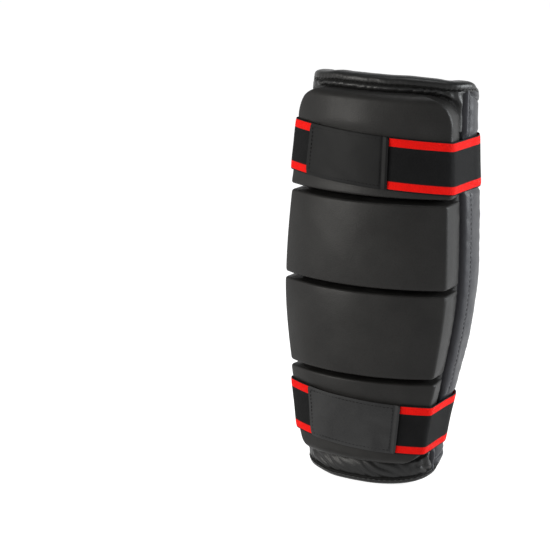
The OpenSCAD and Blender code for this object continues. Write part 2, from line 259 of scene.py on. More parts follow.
def begin(name):
    mat = bpy.data.materials.new(name)
    mat.use_nodes = True
    tree = mat.node_tree
    return mat, tree, tree.nodes["Principled BSDF"], node(tree, "ShaderNodeTexCoord").outputs


def spots(tree, co, scale, detail=3.0, rough=0.6):
    return node(tree, "ShaderNodeTexNoise", (("Vector", co), ("Scale", scale), ("Detail", detail),
                                              ("Roughness", rough))).outputs["Fac"]


def span(tree, value, a, b, lo=0.0, hi=1.0):
    return node(tree, "ShaderNodeMapRange", (("Value", value), ("From Min", a), ("From Max", b),
                                              ("To Min", lo), ("To Max", hi))).outputs["Result"]


def bumped(tree, shader, layers):
    """Feeds stacked bumps, as (height, strength, distance in metres), to a shader."""
    normal = None
    for height, strength, distance in layers:
        b = node(tree, "ShaderNodeBump",
                 (("Height", height), ("Strength", strength), ("Distance", distance)))
        if normal:
            tree.links.new(normal, b.inputs["Normal"])
        normal = b.outputs["Normal"]
    tree.links.new(normal, shader.inputs["Normal"])


def grey(v, warm=0.0, cool=0.0):
    return (v * (1 + warm), v, v * (1 - warm + cool), 1)


def leather(name, tone, cool=0.0, warm=0.0, rough=0.42, grain=1.0, crease=0.0, shine=0.14):
    """Coated leather: pebble grain, mottled tone and gloss, and convex edges painted lighter, partly as
    rubbed wear and partly as painted highlight.
    """
    mat, tree, sh, co = begin(name)
    obj = co["Object"]
    blotch = spots(tree, obj, 26, 4)
    fine = spots(tree, obj, 900, 2)
    cells = node(tree, "ShaderNodeTexVoronoi", (("Vector", obj), ("Scale", 1150.0), ("Randomness", 0.9)),
                 feature="SMOOTH_F1").outputs["Distance"]
    edge = node(tree, "ShaderNodeNewGeometry").outputs["Pointiness"]
    # Convex edges, picked out by pointiness, are painted lighter: partly rubbed wear, partly painted
    # highlight on the bevels.
    edge_wear_and_highlight = span(tree, math_node(tree, "ADD", edge, math_node(tree, "MULTIPLY", blotch, 0.02)), 0.535, 0.6)
    base = mixed(tree, span(tree, blotch, 0.3, 0.7), grey(tone * 0.8, warm, cool),
                 grey(tone * 1.22, warm, cool))
    base = mixed(tree, math_node(tree, "MULTIPLY", span(tree, cells, 0.35, 0.75), 0.35), base,
                 grey(tone * 0.55, warm, cool))
    # The lighter grey on convex edges: rubbed wear and painted highlight.
    base = mixed(tree, math_node(tree, "MULTIPLY", edge_wear_and_highlight, 0.6), base, grey(tone * 2.4, warm, cool))
    tree.links.new(base, sh.inputs["Base Color"])
    gloss = span(tree, math_node(tree, "ADD", blotch, math_node(tree, "MULTIPLY", fine, 0.5)), 0.5, 1.0,
                 rough - 0.06, rough + 0.08)
    tree.links.new(gloss, sh.inputs["Roughness"])
    sh.inputs["Specular IOR Level"].default_value = shine
    layers = [(blotch, 0.35, 0.0012), (cells, 0.42 * grain, 0.00022), (fine, 0.22 * grain, 0.00012)]
    if crease:
        lines = node(tree, "ShaderNodeTexNoise", (("Vector", obj), ("Scale", 120.0), ("Detail", 4.0),
                                                   ("Distortion", 1.2))).outputs["Fac"]
        layers.append((lines, crease, 0.0009))
    bumped(tree, sh, layers)
    return mat


def nylon(name, tone):
    """Shiny lining cloth: a fine plain weave, and a faint change of tone from place to place."""
    mat, tree, sh, co = begin(name)
    obj = co["Object"]
    blotch = spots(tree, obj, 40, 3)
    sep = node(tree, "ShaderNodeSeparateXYZ", (("Vector", co["UV"]),)).outputs
    warp = math_node(tree, "SINE", math_node(tree, "MULTIPLY", sep[0], 2 * math.pi / 0.0007))
    weft = math_node(tree, "SINE", math_node(tree, "MULTIPLY", sep[1], 2 * math.pi / 0.0006))
    weave = math_node(tree, "MULTIPLY", warp, weft)
    base = mixed(tree, span(tree, blotch, 0.3, 0.7), grey(tone * 0.75, 0.03), grey(tone * 1.3, 0.05))
    base = mixed(tree, span(tree, weave, -1, 1, 0.0, 0.25), base, grey(tone * 1.9, 0.04))
    tree.links.new(base, sh.inputs["Base Color"])
    tree.links.new(span(tree, blotch, 0.3, 0.7, 0.3, 0.42), sh.inputs["Roughness"])
    sh.inputs["Specular IOR Level"].default_value = 0.6
    sh.inputs["Sheen Weight"].default_value = 0.12
    bumped(tree, sh, [(blotch, 0.4, 0.0006), (weave, 0.25, 0.00008)])
    return mat


def elastic(name, tone, striped, rib=0.0009, half=22.5):
    """Woven elastic: ribs across it, warp lines along it, and on the straps a red stripe by each edge."""
    mat, tree, sh, co = begin(name)
    sep = node(tree, "ShaderNodeSeparateXYZ", (("Vector", co["UV"]),)).outputs
    along, across = sep[0], sep[1]
    off = math_node(tree, "ABSOLUTE", across)
    blotch = spots(tree, co["Object"], 60, 4)
    wobble = math_node(tree, "MULTIPLY", spots(tree, co["Object"], 500, 2), 0.0012)
    ribs = math_node(tree, "SINE", math_node(tree, "MULTIPLY", math_node(tree, "ADD", along, wobble),
                                             2 * math.pi / rib))
    warp = math_node(tree, "SINE", math_node(tree, "MULTIPLY", across, 2 * math.pi / 0.0007))
    weave = math_node(tree, "ADD", ribs, math_node(tree, "MULTIPLY", warp, 0.6))
    base = mixed(tree, span(tree, blotch, 0.3, 0.7), grey(tone * 0.8, 0, 0.06), grey(tone * 1.25, 0, 0.06))
    base = mixed(tree, span(tree, weave, -1.6, 1.6, 0.0, 0.5), base, grey(tone * 1.9, 0, 0.05))
    if striped:
        red = mixed(tree, span(tree, weave, -1.6, 1.6), (0.36, 0.002, 0.001, 1), (0.72, 0.006, 0.003, 1))
        red = mixed(tree, span(tree, blotch, 0.35, 0.75, 0.0, 0.35), red, (0.4, 0.002, 0.001, 1))
        inner = span(tree, math_node(tree, "ADD", off, math_node(tree, "MULTIPLY", warp, 0.00012)),
                     0.001 * (half - 7.9), 0.001 * (half - 7.5))
        rim = span(tree, off, 0.001 * (half - 1.15), 0.001 * (half - 0.95), 1.0, 0.0)
        base = mixed(tree, math_node(tree, "MULTIPLY", inner, rim), base, red)
    tree.links.new(base, sh.inputs["Base Color"])
    tree.links.new(span(tree, weave, -1.6, 1.6, 0.72, 0.55), sh.inputs["Roughness"])
    sh.inputs["Specular IOR Level"].default_value = 0.05
    bumped(tree, sh, [(ribs, 0.5, 0.00018), (warp, 0.35, 0.0001), (blotch, 0.3, 0.0006)])
    return mat


def fuzzy(name, tone, scale, depth):
    """The two halves of the closure: a mat of loops, or rows of hooks."""
    mat, tree, sh, co = begin(name)
    loops = spots(tree, co["Object"], scale, 4, 0.7)
    cells = node(tree, "ShaderNodeTexVoronoi",
                 (("Vector", co["Object"]), ("Scale", scale * 0.8))).outputs["Distance"]
    base = mixed(tree, span(tree, loops, 0.3, 0.7), grey(tone * 0.5), grey(tone * 1.8))
    tree.links.new(base, sh.inputs["Base Color"])
    tree.links.new(span(tree, loops, 0.3, 0.7, 0.95, 0.7), sh.inputs["Roughness"])
    sh.inputs["Sheen Weight"].default_value = 0.4
    bumped(tree, sh, [(loops, 0.8, depth), (cells, 0.7, depth)])
    return mat


def tab_cloth(name, tone):
    """The brushed, rubberised face of the pull tabs."""
    mat, tree, sh, co = begin(name)
    obj = co["Object"]
    smear = node(tree, "ShaderNodeTexNoise", (("Vector", obj), ("Scale", 38.0), ("Detail", 5.0),
                                               ("Distortion", 0.8))).outputs["Fac"]
    grain = spots(tree, obj, 1400, 2)
    base = mixed(tree, span(tree, smear, 0.32, 0.68), grey(tone * 0.78, 0, 0.03), grey(tone * 1.25, 0, 0.02))
    base = mixed(tree, span(tree, grain, 0.4, 0.7, 0.0, 0.4), base, grey(tone * 1.7))
    tree.links.new(base, sh.inputs["Base Color"])
    tree.links.new(span(tree, smear, 0.3, 0.7, 0.5, 0.62), sh.inputs["Roughness"])
    sh.inputs["Specular IOR Level"].default_value = 0.1
    bumped(tree, sh, [(smear, 0.3, 0.001), (grain, 0.4, 0.00012)])
    return mat


def yarn(name, tone, shine):
    """Twisted thread."""
    mat, tree, sh, co = begin(name)
    twist = node(tree, "ShaderNodeTexWave", (("Vector", co["Object"]), ("Scale", 900.0), ("Distortion", 2.0)),
                 bands_direction="DIAGONAL").outputs["Fac"]
    tree.links.new(mixed(tree, twist, grey(tone * 0.6), grey(tone * 1.6)), sh.inputs["Base Color"])
    tree.links.new(span(tree, twist, 0, 1, 0.45, 0.7), sh.inputs["Roughness"])
    sh.inputs["Specular IOR Level"].default_value = shine
    bumped(tree, sh, [(twist, 0.5, 0.0001)])
    return mat


BLOCK_LEATHER = leather("block_leather", 0.011, warm=0.04, rough=0.43, shine=0.12)
WING_LEATHER = leather("wing_leather", 0.023, cool=0.16, rough=0.42, shine=0.18)
HEM_LEATHER = leather("hem_leather", 0.009, rough=0.4, crease=0.16, shine=0.22)
BINDING_LEATHER = leather("binding_leather", 0.009, warm=0.02, rough=0.38, crease=0.15, shine=0.2)
CORE_CLOTH = leather("backing_cloth", 0.008, rough=0.6)
LINING = nylon("lining_nylon", 0.011)
STRAP = elastic("strap_elastic", 0.0038, True)
BAND = elastic("band_elastic", 0.010, False, rib=0.0012)
LOOPS = fuzzy("loop_pile", 0.014, 2600, 0.0004)
HOOKS = fuzzy("hook_field", 0.012, 1500, 0.0005)
# The two tabs are one cloth: the lower tab's copy is given a lighter tone, a painted sheen.
TAB_CLOTHS_WITH_PAINTED_SHEEN = {"upper": tab_cloth("upper_tab_cloth", 0.0042),
        "lower": tab_cloth("lower_tab_cloth_painted_sheen", 0.0175)}
THREAD = yarn("thread", 0.006, 0.06)
PALE_THREAD = yarn("edge_thread", 0.035, 0.2)


# ------------ outline of the guard
def wing_edge():
    """The wing's rear edge as (s, z) points, from the bottom hem to the top hem."""
    z0, z1 = 8.2, GUARD_H - 8.2
    low_h, low_w, top_h, top_w = 40, 82, 54, 60
    edge = []

    def rear(z):
        return mix(176.0, 164.0, ease((z - 50) / 120))

    for a in np.radians(np.arange(9, 88, 3)):
        z = z0 + low_h * (1 - math.cos(a))
        edge.append((rear(z) - low_w * (1 - math.sin(a)), z))
    for z in np.linspace(z0 + low_h, z1 - top_h, 60):
        edge.append((rear(z), z))
    for a in np.radians(np.arange(87, 14, -3)):
        z = z1 - top_h * (1 - math.cos(a))
        edge.append((rear(z) - top_w * (1 - math.sin(a)), z))
    edge = np.array(edge)
    edge[:, 1] += 5.0 * (1 - ease((edge[:, 1] - 8) / 50)) - 2.6 * ease((edge[:, 1] - 300) / 50)
    return edge


def tidy_line(points, step):
    """Points a real step apart along a smoothed line of (s, z) points."""
    p = np.asarray(points, float)
    for _ in range(3):
        q = np.empty((2 * len(p) - 2, 2))
        q[0::2], q[1::2] = 0.75 * p[:-1] + 0.25 * p[1:], 0.25 * p[:-1] + 0.75 * p[1:]
        p = np.concatenate([p[:1], q, p[-1:]])
    mid = (p[1:] + p[:-1]) / 2
    leg = np.hypot(girth(mid[:, 1]) * np.diff(p[:, 0]), np.diff(p[:, 1]))
    run = np.concatenate([[0], np.cumsum(leg)])
    at = np.linspace(0, run[-1], int(run[-1] / step) + 1)
    return np.stack([np.interp(at, run, p[:, 0]), np.interp(at, run, p[:, 1])], -1), at


# The outline of half the guard, from the middle of the top hem round the wing to the middle of the
# bottom hem, with the length run along it and the (s, z) directions along it and outwards across it.
EDGE = wing_edge()[::-1]
OUTLINE, RUN = tidy_line([(s, hem_high(s)) for s in range(0, 100, 7)]
                         + [(103, 355.2), (108, 353.2), (114, 350.0)]
                         + [tuple(p + (0.9, 1.1)) for p in EDGE[2:24]]
                         + [tuple(p + (1.6, 0)) for p in EDGE[24:-24]]
                         + [tuple(p + (0.9, -1.1)) for p in EDGE[-24:-2]]
                         + [(s, hem_low(s)) for s in range(112, -1, -7)], 1.5)
K = girth(OUTLINE[:, 1])
TANGENT = np.stack([np.gradient(OUTLINE[:, 0]) * K, np.gradient(OUTLINE[:, 1])], -1)
TANGENT /= np.linalg.norm(TANGENT, axis=1)[:, None]
ACROSS = np.stack([-TANGENT[:, 1] / K, TANGENT[:, 0]], -1)
# Where the hems' bindings meet the wings', and how far each place belongs to a wing.
TOP_END = int(np.argmax(OUTLINE[:, 0] > 106.0))
LOW_END = len(OUTLINE) - 1 - int(np.argmax(OUTLINE[::-1, 0] > 99.0))
ON_WING = np.minimum(ease((RUN - RUN[TOP_END] + 6) / 16), ease((RUN[LOW_END] - RUN + 6) / 16))


def edge_distance(s, z):
    """Distance from the outline, in real millimetres, for points of a wing."""
    k = girth(z)
    out = np.full(np.shape(s), 1e9)
    for p in OUTLINE[::2]:
        out = np.minimum(out, np.hypot((s - p[0]) * k, z - p[1]))
    return out


def strap_press(x, z, margin=5.0):
    """1 where a calf strap lies on the leather, and 0 away from it."""
    out, z = 0.0, z + SLANT * x
    for mid in (UPPER_Z, LOWER_Z):
        out = np.maximum(out, ease((STRAP_W / 2 + margin - np.abs(z - mid)) / margin))
    return out


def wing_rise(s, z, side):
    """How far the outer leather of a wing stands off the shell's face."""
    k, edge = girth(z), edge_distance(s, z)
    roll = np.clip((s - SEAM_S) / (ROLL_END_S - SEAM_S), 0, 1)
    d = mix(-3.8, -1.6, ease((s - SEAM_S) / 6)) + 4.4 * np.sin(np.pi * roll) ** 0.62
    past = np.clip((s - ROLL_END_S) * k, 0, None)
    d = np.where(s > ROLL_END_S, -1.6 + 2.9 * (1 - np.exp(-past / 3.2)), d)
    whole = -4.6 + 6.3 * (1 - np.exp(-np.clip(s - SEAM_S - 1.6, 0, None) / 1.7))
    whole = whole - 0.45 * bump(s, ROLL_STITCH_S, 0.8)
    d = mix(d, whole, ease((304 - z) / 26) * ease((z - 66) / 26))
    d = d - 1.7 * bump(edge, EDGE_STITCH_IN, 1.1) * (s > 100) + 0.5 * bump(edge, 6.4, 1.8)
    d = d - 1.0 * ease((4.6 - edge) / 3)
    d = d + 0.35 * waves(s, z, 31 + side, 46) * ease(past / 12) + 0.14 * waves(s, z, 41 + side, 13)
    puckers = np.sin(z * 2 * np.pi / 6.1 + 1.3 * waves(z, 0 * z, 5 + side, 30))
    puckers = puckers * (bump(s, 99.5, 1.6) + bump(s, 87.5, 1.4))
    d = d + 0.14 * puckers + 0.16 * np.sin(z * 2 * np.pi / 4.6) * bump(edge, 9.0, 2.2)
    return mix(d, np.minimum(d, -0.15), strap_press(side * 78 * k, z))


# ------------ core, under everything
S, Z = np.meshgrid(np.linspace(-82.4, 82.4, 70), np.linspace(9, 351, 60))
core = slab("shell_core", shell(S, 0.15, Z), shell(S, -11.8, Z), CORE_CLOTH, "guard")
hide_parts("shell_backing", "shell_foam", "shin_cushion")

# ------------ wings
WING_S0, WING_S1, NEAR = 82.0, 99.0, 0.36


def wing_grid():
    """(s, z) points of a wing, closer together near its seam, for the share NEAR of each row."""
    rim = OUTLINE[TOP_END - 2:LOW_END + 3][::-1]
    keep = np.concatenate([[True], np.diff(np.maximum.accumulate(rim[:, 1])) > 0.12])
    rim = rim[keep]
    last = np.maximum(rim[:, 0] - 1.9 / girth(rim[:, 1]), 90.0)
    t = np.linspace(0, 1, 64)
    near = WING_S0 + (WING_S1 - WING_S0) * t[:, None] / NEAR
    far = WING_S1 + (last - WING_S1) * (t[:, None] - NEAR) / (1 - NEAR)
    S = np.where(t[:, None] < NEAR, near, far).T
    S = np.where(last[:, None] < 100, WING_S0 + (last[:, None] - WING_S0) * t[None], S)
    return S, np.clip(rim[:, 1][:, None] + 0 * S, 2.2, 357.8)


for name, side in SIDES:
    S, Z = wing_grid()
    rise = wing_rise(S, Z, side)
    back = WING_D - 0.45 * (1 - bump(edge_distance(S, Z), 0, 10)) + 0.2 * waves(S, Z, 61 + side, 18)
    wing = slab(name + "_wing", shell(side * S, rise, Z)[:, ::side],
                shell(side * S, back, Z)[:, ::side], WING_LEATHER, "guard")
    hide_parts(*[f"{name}_wing_{part}" for part in ("cover", "foam", "facing")])


def wing_stitches(name, s, z, side, **kind):
    """A row of stitches on a wing through points (s, z)."""
    normals = shell(side * s, 1.0, z) - shell(side * s, 0.0, z)
    row = stitches(name, shell(side * s, wing_rise(s, z, side), z), normals, THREAD, "guard", **kind)


# A row along the roll and a row along the rear edge, both left out under the straps.
for name, side in SIDES:
    z = np.arange(14, 348, 1.5)
    z = z[strap_press(side * 78 * girth(z), z) < 0.5]
    for part, z_from, z_to in (("low", 12, 36), ("mid", 84, 264), ("top", 316, 347)):
        zz = z[(z > z_from) & (z < z_to)]
        wing_stitches(f"{name}_seam_stitches_{part}", ROLL_STITCH_S + 0 * zz, zz, side,
                      pitch=4.2, length=3.0)
    pts = OUTLINE - ACROSS * EDGE_STITCH_IN
    pts = pts[(ON_WING > 0.99) & (pts[:, 0] > 101)]
    clear = strap_press(side * 74 * girth(pts[:, 1]), pts[:, 1], 2.0) < 0.5
    cuts = np.flatnonzero(np.diff(clear.astype(int))) + 1
    for i, idx in enumerate(np.split(np.arange(len(pts)), cuts)):
        if len(idx) > 6 and clear[idx[0]]:
            wing_stitches(f"{name}_edge_stitches_{i}", pts[idx, 0], pts[idx, 1], side)


# ------------ binding round the whole outline
def binding_rings(first, stop, side, seed):
    """Rings of the folded binding between two places on the outline: wide on the hems, narrow on
    the wings."""
    w = ON_WING[first:stop, None]
    outer, inner = mix(3.3, 1.25, w), mix(-16.2, -9.5, w)
    wide = np.where(OUTLINE[first:stop, 1:] > GUARD_H / 2, 8.2, 5.8)
    width, nose = mix(wide, 4.6, w), mix(4.6, 3.9, w)
    half, mid = (outer - inner) / 2, (outer + inner) / 2
    run = RUN[first:stop, None]
    a = np.radians(np.linspace(88, -88, 15))[None]
    c, sn = np.cos(a), np.sin(a)
    # Each ring runs over the outer side, round the rounded nose and back along the inner side.
    reach = [-width - 0.9, -width + 0.2, -width + 1.6, -(width * 0.5 + nose * 0.5)]
    depth = [outer - 2.0, outer - 0.7, outer - 0.05, outer + 0.12]
    reach = [r + 0 * mid for r in reach] + [(-nose + nose * np.abs(c) ** 0.72)]
    depth = [d + 0 * mid for d in depth] + [mid + half * np.sign(sn) * np.abs(sn) ** 0.72]
    reach += [r + 0 * mid for r in (-(width * 0.5 + nose * 0.5), -width + 1.6, -width + 0.2, -width - 0.9)]
    depth += [d + 0 * mid for d in (inner - 0.12, inner + 0.05, inner + 0.7, inner + 2.0)]
    reach, depth = np.concatenate(reach, 1), np.concatenate(depth, 1)
    stitch = 0.22 * np.sin(run * 2 * np.pi / 4.6) + 0.3 * waves(run, 0 * run, seed, 17)
    edge_zone = ease((-reach - nose * 0.4) / 3)
    depth = depth + stitch * edge_zone * np.sign(depth - mid)
    reach = reach + 0.18 * waves(run, 0 * run, seed + 1, 23)
    s = OUTLINE[first:stop, 0][:, None] + reach * ACROSS[first:stop, 0][:, None]
    z = OUTLINE[first:stop, 1][:, None] + reach * ACROSS[first:stop, 1][:, None]
    return shell(side * s, depth, z)


n_out = len(OUTLINE)
right_rings = binding_rings(0, n_out, 1, 70)
left_rings = binding_rings(0, n_out, -1, 80)
left_rings[0] = right_rings[0] * [-1, 1, 1]
left_rings[-1] = right_rings[-1] * [-1, 1, 1]
for name, rings, side in (("right", right_rings, 1), ("left", left_rings, -1)):
    ob = tube(name + "_edge_binding", rings[TOP_END:LOW_END + 1, ::side], BINDING_LEATHER, "guard")
    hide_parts(name + "_wing_binding")
top = np.concatenate([left_rings[TOP_END:0:-1], right_rings[:TOP_END + 1]])
low = np.concatenate([left_rings[LOW_END:n_out - 1], right_rings[n_out - 1:LOW_END - 1:-1]])
for label, rings in (("top", top), ("bottom", low[:, ::-1])):
    ob = tube(label + "_hem_binding", rings, BINDING_LEATHER, "guard")
    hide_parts(label + "_binding")

# Stitches along the hems, outside and inside: how far in from the edge, and the depth on the hem
# and on the wing.
for label, idx, inwards, thread in (("top", np.arange(TOP_END + 4), 6.9, THREAD),
                                    ("bottom", np.arange(LOW_END - 4, n_out), 4.5, PALE_THREAD)):
    for where, on_hem, on_edge, way in (("outer", 3.4, 1.3, 1), ("inner", -16.3, -9.6, -1)):
        for name, side in SIDES:
            d = mix(on_hem, on_edge, ON_WING[idx])
            back = mix(inwards, 3.6, ON_WING[idx])
            s, z = OUTLINE[idx, 0] - back * ACROSS[idx, 0], OUTLINE[idx, 1] - back * ACROSS[idx, 1]
            pts = shell(side * s, d, z)
            row = stitches(f"{label}_{where}_{name}_hem_stitches", pts, shell(side * s, d + way, z) - pts,
                           thread, "guard", length=2.8, radius=0.38, lift=0.1)

# ------------ blocks
# Bottom, top, thickness, radius of the lower and of the upper corners, and how far the sides lean in.
BLOCKS = {"top": (259.25, 346.0, 20.0, 0.0, 27.0, 0.0),
          "upper": (181.25, 254.75, 22.0, 0.0, 0.0, 2.6),
          "lower": (102.25, 176.75, 22.0, 0.0, 0.0, 2.2),
          "ankle": (23.0, 97.75, 20.0, 23.0, 0.0, 0.0)}


def end_share(dz, r):
    """Share of the face's width that is left at dz from an end with corners of radius r."""
    if r <= 0 or dz >= r:
        return 1.0
    return 1 - (r - math.sqrt(max(r * r - (r - dz) ** 2, 0))) / 76.0


def end_rows(r, f):
    """Distances from a block's end at which it needs rows."""
    dz = [f - f * math.cos(a) for a in np.linspace(0, math.pi / 2, 8)]
    dz += [r * (1 - math.cos(a)) for a in np.linspace(0, math.pi / 2, 16)] if r else []
    return sorted(set(round(v, 3) for v in dz))


def block(name, z0, z1, t, r0, r1, slope, seed):
    """A padded block, t thick, from the values in BLOCKS."""
    f0, f1 = (6.5 if r0 else 2.0), (7.5 if r1 else 2.0)
    face_arc, corner_arc = FACE_ARC - slope, CORNER_ARC - 0.35 * slope
    low, high = end_rows(r0, f0), end_rows(r1, f1)
    middle = np.arange(z0 + max(low) + 2.4, z1 - max(high) - 1.2, 2.4)
    zs = [z0 + v for v in low] + list(middle) + [z1 - v for v in high[::-1]]
    face = np.linspace(0, 1, 34)
    corner = np.linspace(0, 1, 9)[1:]
    wall = np.linspace(0, 1, 13)[1:]
    heading = WALL_HEADING - 2.2 * slope
    rows = []

    def profile(z, side_tuck):
        """Half of the block's section at height z, from the middle of its face down to the shell, and
        the points of the shell under it."""
        lo, hi = z - z0, z1 - z
        w = min(end_share(lo, r0), end_share(hi, r1))
        k, y0 = float(girth(z)), float(bow(z))
        arcs = ((face_arc * w, FACE_TURN * w), (corner_arc, heading - FACE_TURN * w))

        def fillet(f, dist):
            return f - math.sqrt(max(f * f - (f - dist) ** 2, 0)) if dist < f else 0.0
        s = np.concatenate([face * arcs[0][0], arcs[0][0] + corner * corner_arc])
        turn = np.concatenate([0 * face, corner])
        x, y, h = walk(s, arcs)
        front = fillet(f0, lo) + fillet(f1, hi)
        flank = fillet(f0 + (2.5 if r0 else 0.8), lo) + fillet(f1 + (2.5 if r1 else 0.8), hi)
        inset = mix(front, max(front, flank), ease(turn * 1.4))
        v = (z - z0) / (z1 - z0)
        crown = 1.5 * (1 - abs(2 * v - 1) ** 2.6) * (1 - (s / s[-1]) ** 4)
        if t < 21:  # the blocks that a strap lies on
            press = float(strap_press(0.0, np.array(z), 9.0))
            crown = crown * 0.7 * (1 - press) - 0.45 * press
        crown = crown + 0.16 * waves(s, z + 0 * s, seed, 34) * (1 - ease((s - 60) / 20))
        inset = inset - crown
        px, py = k * x - inset * np.sin(h), y0 + k * (y - t) + inset * np.cos(h)
        root = shell(ROOT_S * w - max(front, flank) / k, 0.45, z)
        ax, ay = px[-1], py[-1]
        along = np.array([root[0] - ax, root[1] - ay])
        out = np.array([along[1], -along[0]]) / max(np.hypot(*along), 1e-6)
        bulge = (1.1 * np.sin(np.pi * wall) * (1 - 0.6 * bump(v, 0.0, 0.1) - 0.6 * bump(v, 1.0, 0.1))
                 + 0.35 * side_tuck * bump(wall, 0.8, 0.22))
        wx, wy = ax + along[0] * wall + out[0] * bulge, ay + along[1] * wall + out[1] * bulge
        half = np.stack([np.concatenate([px, wx]), np.concatenate([py, wy])], -1)
        lengths = np.concatenate([[0], np.cumsum(np.hypot(*np.diff(half, axis=0).T))])
        floor_s = (ROOT_S * w - max(front, flank) / k - 0.6) * lengths / lengths[-1]
        base = shell(floor_s, 0.45, z)[:, :2]
        return half, base

    tuck = waves(np.array(zs), 0 * np.array(zs), seed + 9, 9)

    def row(z, depth, lean, side_tuck):
        """A row of points right across the block. depth goes from 0 at its face to 1 at the shell."""
        half, base = profile(z, side_tuck)
        pts = mix(half, base, depth)
        pts = np.concatenate([pts[:0:-1] * [-1, 1], pts])
        sag = 0.25 * math.sin(math.pi * depth) * waves(pts[:, 0], pts[:, 1], seed + 3, 12)
        return np.concatenate([pts, (z + lean + sag)[:, None]], 1)

    lean0, lean1 = (0.6 if r0 else 1.55), (0.4 if r1 else 1.55)
    for d in np.linspace(1, 0, 8)[:-1]:
        rows.append(row(z0, d, -lean0 * d, tuck[0]))
    for z, tk in zip(zs, tuck):
        rows.append(row(z, 0.0, 0.0, tk))
    for d in np.linspace(0, 1, 8)[1:]:
        rows.append(row(z1, d, lean1 * d, tuck[-1]))
    grid = np.array(rows)
    across = np.linspace(-1, 1, grid.shape[1]) * (ROOT_S * 0.5)
    inner = np.array([shell(across, 0.3, min(max(line[:, 2].mean(), z0 + 1.2), z1 - 1.2)) for line in grid])
    ob = slab(name + "_block", grid, inner, BLOCK_LEATHER, "guard")
    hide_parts(name + "_block_cover", name + "_block_foam")


for i, (name, spec) in enumerate(BLOCKS.items()):
    block(name, *spec, seed=100 + 20 * i)

for i, z in enumerate(GROOVES):
    s = np.arange(-80, 80.1, 2.0)
    pts = shell(s, 0.5, z)
    row = stitches(f"groove_stitches_{i}", pts, shell(s, 1.5, z) - pts, THREAD, "guard",
                   radius=0.3, lift=0.1)
    if i == 0:
        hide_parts("groove_seams")


# ------------ puckered bands between the blocks and the hems
def band_skin(name, z_lo, z_hi, upwards, node_name, seed):
    """Leather between a block and a hem: gathered folds, and a puff beside the block's corner."""
    s = np.linspace(-86.4, 86.4, 190)
    S, Z = np.meshgrid(s, np.linspace(z_lo, z_hi, 44))
    if upwards:
        Z = Z + (hem_high(S) - GUARD_H) * (Z - z_lo) / (z_hi - z_lo)
    else:
        Z = Z + hem_low(S) * (z_hi - Z) / (z_hi - z_lo)
    z0, z1, _, r0, r1, _ = BLOCKS["top" if upwards else "ankle"]
    edge, radius = (z1, r1) if upwards else (z0, r0)
    gap = (Z - edge) if upwards else (edge - Z)
    share = np.vectorize(lambda dz: end_share(max(dz, 0), radius))(-gap)
    past = np.abs(S) - ROOT_S * share
    room = np.abs((hem_high(S) - 7.4 if upwards else hem_low(S) + 5.2) - edge)
    u = np.clip(gap / room, 0, 1)
    d = 0.5 + (2.7 if upwards else 3.3) * np.sin(np.pi * u) ** 0.6 * (gap > 0)
    d = np.maximum(d, 0.5 + 3.4 * ease(past / 7) * ease((87 - np.abs(S)) / 5) * (gap < 3))
    lean = 0.55 if upwards else 1.5
    phase = (S * girth(Z) - lean * gap) * 2 * np.pi / (9.5 if upwards else 13.0)
    phase = phase + 2.0 * waves(S, 0 * S, seed, 40)
    fold = np.abs(np.sin(phase / 2)) ** 0.7 * 1.5 - 0.9
    strength = 0.55 + 0.45 * waves(S, 0 * S, seed + 1, 55)
    d = d + fold * np.clip(strength, 0.15, 1.2) * (0.85 if upwards else 1.6) * np.clip(u * 3, 0, 1)
    d = d + 0.5 * waves(S, Z, seed + 2, 9) * ease(past / 6)
    d = d - 1.3 * ease((u - 0.86) / 0.14)
    d = np.where(gap < -1.5, np.minimum(d, mix(0.35, 9, ease(past / 3))), d)
    d = np.maximum(d, 0.3)
    d = mix(d, np.minimum(d, 0.4), strap_press(78 * girth(Z) * np.sign(S), Z, 4.0))
    ob = slab(name, shell(S, d, Z), shell(S, -2.0 + 0 * S, Z), HEM_LEATHER, "guard")
    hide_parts(node_name)


band_skin("top_gathered_band", 313.5, 355.0, True, "top_hem_roll", 200)
band_skin("bottom_gathered_band", 3.8, 50.0, False, "bottom_hem_roll", 210)

# ------------ gathered lining
# Heights of the quilting seams.
QUILT = (15.5, 97.0, 252.0, 345.0)


def lining_depth(S, Z):
    """Depth of the lining: drawn in at the quilting, with long folds between and short gathers by it."""
    rng = np.random.default_rng(17)
    d = np.zeros(S.shape)
    for q in QUILT:
        d = d + 2.3 * bump(Z, q, 3.0)
    bounds = (3.0,) + QUILT + (357.0,)
    for a, b in zip(bounds[:-1], bounds[1:]):
        v = np.clip((Z - a) / (b - a), 0, 1)
        inside = (Z >= a) & (Z < b)
        d = np.where(inside, d - (1.6 if b - a > 40 else 0.5) * np.sin(np.pi * v) ** 0.6, d)
    for a, b in zip(QUILT[:-1], QUILT[1:]):
        folds = 46 if b - a < 120 else 62
        for _ in range(folds):
            top = rng.random() < 0.5
            start = b if top else a
            reach = (b - a) * rng.uniform(0.22, 1.02)
            s0, lean = rng.uniform(-88, 88), rng.uniform(-0.14, 0.14)
            width, high = rng.uniform(1.7, 4.2), rng.uniform(0.7, 2.0)
            off = (start - Z) if top else (Z - start)
            line = s0 + lean * off + 1.6 * np.sin(off / rng.uniform(14, 30) + rng.uniform(0, 6))
            gate = ease(off / 4) * ease((reach - off) / (0.55 * reach))
            beside = line + rng.choice((-1, 1)) * 1.7 * width
            d = d - high * gate * (bump(S, line, width) - 0.55 * bump(S, beside, width))
    for q in QUILT:
        for _ in range(64):
            s0, width = rng.uniform(-90, 90), rng.uniform(0.9, 1.7)
            high, reach = rng.uniform(0.8, 1.7), rng.uniform(5, 17)
            lean = rng.uniform(-0.35, 0.35)
            off = np.abs(Z - q)
            gate = ease((off - 0.5) / 1.5) * ease((reach - off) / reach)
            d = d - high * gate * bump(S, s0 + lean * off, width)
    return d


